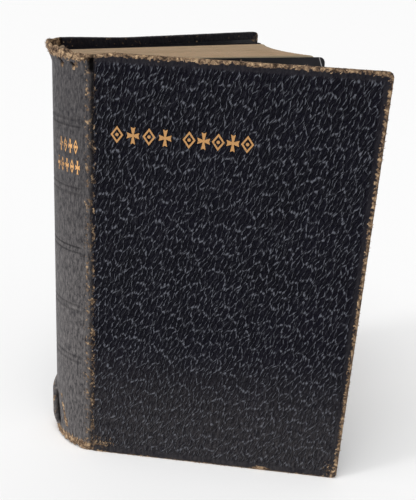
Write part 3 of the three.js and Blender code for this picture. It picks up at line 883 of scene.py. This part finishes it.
def wrap_tree():
    """Turns a line of silk round a core: slightly slanted rings, each shade for two wraps in four."""
    tree, given = new_tree("wrap silk", {"Radius": "Float", "Thread": "Float", "Silk": "Material"})
    line = add(tree, "GeometryNodeMeshToCurve", {0: given["Geometry"]})
    points = add(tree, "GeometryNodeCurveToPoints", {0: line, "Length": given["Thread"]}, mode="LENGTH")
    ring = add(tree, "GeometryNodeCurvePrimitiveCircle", {"Resolution": 12, "Radius": given["Radius"]},
               mode="RADIUS")
    half = add(tree, "Math", {0: given["Thread"], 1: 0.56}, operation="MULTIPLY")
    strand = add(tree, "GeometryNodeCurvePrimitiveCircle", {"Resolution": 5, "Radius": half}, mode="RADIUS")
    loop = add(tree, "GeometryNodeCurveToMesh", {0: ring, 1: strand})
    slant = add(tree, "FunctionNodeRotateRotation",
                {0: points.node.outputs["Rotation"], 1: (SILK_SLANT, 0, 0)}, rotation_space="LOCAL")
    wraps = add(tree, "GeometryNodeInstanceOnPoints",
                {"Points": points, "Instance": loop, "Rotation": slant})
    index = add(tree, "GeometryNodeInputIndex")
    turn = add(tree, "Math", {0: index, 1: 4.0}, operation="MODULO")
    shade = add(tree, "Math", {0: turn, 1: 1.5}, operation="GREATER_THAN")
    wraps = add(tree, "GeometryNodeStoreNamedAttribute",
                {"Geometry": wraps, "Name": "shade", "Value": shade}, domain="INSTANCE")
    return end_tree(tree, wraps, given["Silk"])


def dulled_silk():
    """Twisted silk in brown and cream, dulled by dust, with a low sheen along the thread."""
    material, tree = new_material("dulled two-colour silk")
    place = add(tree, "TexCoord", out="Object")
    shade = add(tree, "Attribute", out="Fac", attribute_name="shade")
    dust = add(tree, "TexNoise", {"Vector": place, "Scale": 0.9 / MM, "Detail": 3.0}, out="Fac")
    silk = add(tree, "Mix", {0: shade, 6: linear("#4b3427"), 7: linear("#9d8768")}, out=2, data_type="RGBA")
    dusty = add(tree, "MapRange", {0: dust, 1: 0.4, 2: 0.8, 4: 0.5})
    colour = add(tree, "Mix", {0: dusty, 6: silk, 7: linear("#7a6855")}, out=2, data_type="RGBA")
    return finish(material, {"Base Color": colour, "Roughness": 0.6, "Sheen Weight": 0.2})


silk = dulled_silk()
wrap = wrap_tree()
for node in ("head_band", "tail_band"):
    lowest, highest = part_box(node)
    radius = (highest.z - lowest.z) / 2
    points = np.array([vertex.co[:] for vertex in frame["nodes"][node].data.vertices])
    inset = arc_radius - np.linalg.norm(points[:, :2] - arc_centre, axis=1).max() + radius
    along = np.linspace(BAND_START, BAND_END, BAND_POINTS) * arc_length
    place, inward = along_spine(along)
    core = np.column_stack([place + inward * inset, np.full(len(along), (lowest.z + highest.z) / 2)])
    mesh = bpy.data.meshes.new(f"{node}_silk")
    mesh.from_pydata(core.tolist(), [(i, i + 1) for i in range(len(core) - 1)], [])
    band = put_in_scene(mesh.name, mesh)
    grow(band, wrap, radius=radius - SILK_THREAD / 2, thread=SILK_THREAD, silk=silk)
    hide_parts(node)
    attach(band, "spine_and_sewing")

# ---- Gold tooling ------------------------------------------------------------------------------
# Nine small ornaments across the front cover and two short rows on the spine are blocked in gold leaf:
# lozenges by turns with flared crosses. Hot brass tools press them a little way into the leather.
GOLD_DEPTH = 0.14 * MM
GOLD_LIFT = 0.1 * MM  # how much of that stands above the skin's mean surface
SPINE_MARK_WIDTH, SPINE_MARK_TALL, SPINE_MARK_STEP = 2.3 * MM, 6.4 * MM, 2.95 * MM
SPINE_MARK_ROWS = [(4, 7.8 * MM, 150.5 * MM), (5, 6.9 * MM, 141.7 * MM)]  # count, first place, height


def flared_cross(width, tall):
    """The outline of a cross whose four arms widen outwards, as one ring of points."""
    ring = []
    for turn in range(4):
        c, s = cos(turn * pi / 2), sin(turn * pi / 2)
        for x, y in ((0.14, -0.14), (1.0, -0.36), (0.86, 0.0), (1.0, 0.36)):
            ring.append(((x * c - y * s) * width / 2, (x * s + y * c) * tall / 2))
    return [(ring, None)]


def lozenge(width, tall):
    """A diamond frame round a dot: pairs of outer and inner rings, the dot's without an inner."""
    diamond = [(cos(k * pi / 2), sin(k * pi / 2)) for k in range(4)]
    outer = [(x * width / 2, y * tall / 2) for x, y in diamond]
    inner = [(x * width / 2 * 0.66, y * tall / 2 * 0.66) for x, y in diamond]
    dot = [(0.1 * tall * cos(k * pi / 4), 0.1 * tall * sin(k * pi / 4)) for k in range(8)]
    return [(outer, inner), (dot, None)]


def tooling(name, marks, path):
    """Ornaments as thin closed plates of leaf along a surface; marks are (shape, across, up, fading)."""
    points, faces, faded = [], [], []
    for shape, a0, z0, fade in marks:
        for outer, inner in shape:
            rings = [outer] if inner is None else [outer, inner]
            at = []
            for depth in (-GOLD_LIFT, GOLD_DEPTH - GOLD_LIFT):
                for ring in rings:
                    at.append(range(len(points), len(points) + len(ring)))
                    place, inward = path(np.array([a0 + x for x, y in ring]))
                    flat = place + inward * depth
                    points += [(*xy, z0 + y) for xy, (x, y) in zip(flat, ring)]
                    faded += [fade] * len(ring)
            n = len(outer)
            around = [(k, (k + 1) % n) for k in range(n)]
            if inner is None:
                top, under = at
                faces += [tuple(top), tuple(reversed(under))]
            else:
                top, top_in, under, under_in = at
                faces += [(top[i], top[j], top_in[j], top_in[i]) for i, j in around]
                faces += [(under[j], under[i], under_in[i], under_in[j]) for i, j in around]
                faces += [(top_in[j], under_in[j], under_in[i], top_in[i]) for i, j in around]
            faces += [(top[i], under[i], under[j], top[j]) for i, j in around]
    piece = make_mesh(name, points, faces, {"faded": faded})
    piece.data.polygons.foreach_set("use_smooth", [False] * len(piece.data.polygons))
    piece.data.materials.append(gold)
    return piece


def gold_leaf():
    """Gold leaf on leather: metal, softened by the grain under it and rubbed through in places."""
    material, tree = new_material("blocked gold leaf")
    place = add(tree, "TexCoord", out="Object")
    rub = add(tree, "TexNoise", {"Vector": place, "Scale": 0.9 / MM, "Detail": 4.0}, out="Fac")
    faded = add(tree, "Attribute", out="Fac", attribute_name="faded")
    worn = add(tree, "Math", {0: rub, 1: faded}, operation="ADD")
    gone = add(tree, "MapRange", {0: worn, 1: 0.62, 2: 0.72}, interpolation_type="SMOOTHSTEP")
    colour = add(tree, "Mix", {0: gone, 6: linear("#c2935f"), 7: linear("#5a4636")},
                 out=2, data_type="RGBA")
    metal = add(tree, "MapRange", {0: gone, 3: 0.75, 4: 0.0})
    bump = add(tree, "Bump", {"Height": rub, "Strength": 0.4, "Distance": 0.08 * MM})
    return finish(material, {"Base Color": colour, "Metallic": metal, "Roughness": 0.42, "Normal": bump})


gold = gold_leaf()
cover_marks = []
for index, middle in enumerate(TITLE_PLACES):
    shape = (flared_cross if index % 2 else lozenge)(TITLE_WIDTH, TITLE_TALL)
    cover_marks.append((shape, middle, TITLE_HEIGHT, 0.0))
title = tooling("front_cover_gold", cover_marks, front_path)
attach(title, "front_cover")
spine_marks = []
for count, first, row_height in SPINE_MARK_ROWS:
    for index in range(count):
        shape = (flared_cross if (index + count) % 2 else lozenge)(SPINE_MARK_WIDTH, SPINE_MARK_TALL)
        spine_marks.append((shape, first + index * SPINE_MARK_STEP, row_height, 0.04 + 0.03 * index))
spine_title = tooling("spine_gold", spine_marks, along_spine)
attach(spine_title, "spine_and_sewing")

# ---- Frayed fibres -----------------------------------------------------------------------------
# Where the leather is worn through at the caps, corners and edges, its fibres stand out as a short
# rough nap, which breaks up the outline.
FIBRE_DENSITY, FIBRE_LENGTH = 0.9 / MM ** 2, 0.8 * MM
FIBRE_THICKNESS = 0.16 * MM  # a tuft of fibres, because a single one is too fine to show


def fray_tree():
    """Stands short tapering fibres on a skin, as thick as its fray attribute says, leaning at random."""
    tree, given = new_tree("fray fibres", {"Density": "Float", "Length": "Float", "Thickness": "Float",
                                           "Seed": "Int", "Fibre": "Material"})
    fray = add(tree, "GeometryNodeInputNamedAttribute", {"Name": "fray"})
    density = add(tree, "Math", {0: fray, 1: given["Density"]}, operation="MULTIPLY")
    spots = add(tree, "GeometryNodeDistributePointsOnFaces",
                {"Mesh": given["Geometry"], "Density": density, "Seed": given["Seed"]})
    tip = add(tree, "GeometryNodeMeshCone", {"Vertices": 4, "Radius Top": 0.02 * MM,
                                             "Radius Bottom": given["Thickness"], "Depth": given["Length"]})
    lean = add(tree, "FunctionNodeRandomValue",
               {0: (-1.1, -1.1, -3.1), 1: (1.1, 1.1, 3.1), "Seed": given["Seed"]}, data_type="FLOAT_VECTOR")
    leant = add(tree, "FunctionNodeRotateRotation", {0: spots.node.outputs["Rotation"], 1: lean},
                rotation_space="LOCAL")
    size = add(tree, "FunctionNodeRandomValue", {2: 0.4, 3: 1.3, "Seed": given["Seed"]}, out=1)
    fibres = add(tree, "GeometryNodeInstanceOnPoints",
                 {"Points": spots, "Instance": tip, "Rotation": leant, "Scale": size})
    tone = add(tree, "FunctionNodeRandomValue", {"Seed": given["Seed"]}, out=1)
    fibres = add(tree, "GeometryNodeStoreNamedAttribute",
                 {"Geometry": fibres, "Name": "tone", "Value": tone}, domain="INSTANCE")
    return end_tree(tree, fibres, given["Fibre"])


def bare_fibre():
    """Undyed hide fibres, matt, from dark brown to tan."""
    material, tree = new_material("bare hide fibre")
    tone = add(tree, "Attribute", out="Fac", attribute_name="tone")
    hide = add(tree, "ValToRGB", {"Fac": tone})
    colour_ramp(hide, ((0.0, "#2c2320"), (0.5, "#6f5949"), (1.0, "#ab9076")))
    return finish(material, {"Base Color": hide, "Roughness": 0.95})


fibre = bare_fibre()
fray = fray_tree()
for skin, body, slot, seed in (("front_cover_skin", "front_cover", "grained_leather", 4),
                               ("back_cover_skin", "back_cover", "grained_leather", 5),
                               ("spine_skin", "spine_and_sewing", "worn_spine_leather", 6)):
    nap = put_in_scene(skin.replace("skin", "frayed_fibres"), bpy.data.objects[skin].data.copy())
    nap.data.materials.clear()
    grow(nap, fray, density=FIBRE_DENSITY, length=FIBRE_LENGTH, thickness=FIBRE_THICKNESS, seed=seed,
         fibre=fibre)
    keep_above_table(nap)
    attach(nap, body)

# ---- Table and light ---------------------------------------------------------------------------
# A wide pale table top in a white room. A soft low light on the left rakes the grain, and a broader one
# overhead lights the table and the edges of the leaves.
TABLE_HALF = 40  # metres, so that its edge is out of sight
table = make_mesh("table_top", [(x * TABLE_HALF, y * TABLE_HALF, 0)
                                for x, y in ((-1, -1), (1, -1), (1, 1), (-1, 1))], [(0, 1, 2, 3)])
paint = finish(new_material("pale matt paint")[0],
               {"Base Color": linear("#f7f7f7"), "Roughness": 0.95, "Specular IOR Level": 0.1})
table.data.materials.append(paint)
world = bpy.data.worlds.new("white room")
world.use_nodes = True
world.node_tree.nodes["Background"].inputs["Color"].default_value = (1, 1, 1, 1)
world.node_tree.nodes["Background"].inputs["Strength"].default_value = 0.36
bpy.context.scene.world = world
bpy.context.scene.view_settings.view_transform = "Standard"


def soft_light(name, source, power, spread):
    """A distant lamp that shines from a direction, with its spread in degrees."""
    lamp = put_in_scene(name, bpy.data.lights.new(name, "SUN"))
    lamp.data.energy, lamp.data.angle = power, radians(spread)
    lamp.rotation_euler = Vector(source).to_track_quat("Z", "Y").to_euler()


soft_light("side window", (-0.85, -0.50, 0.14), 2.2, 14)
soft_light("ceiling", (-0.15, -0.35, 1.0), 2.0, 50)
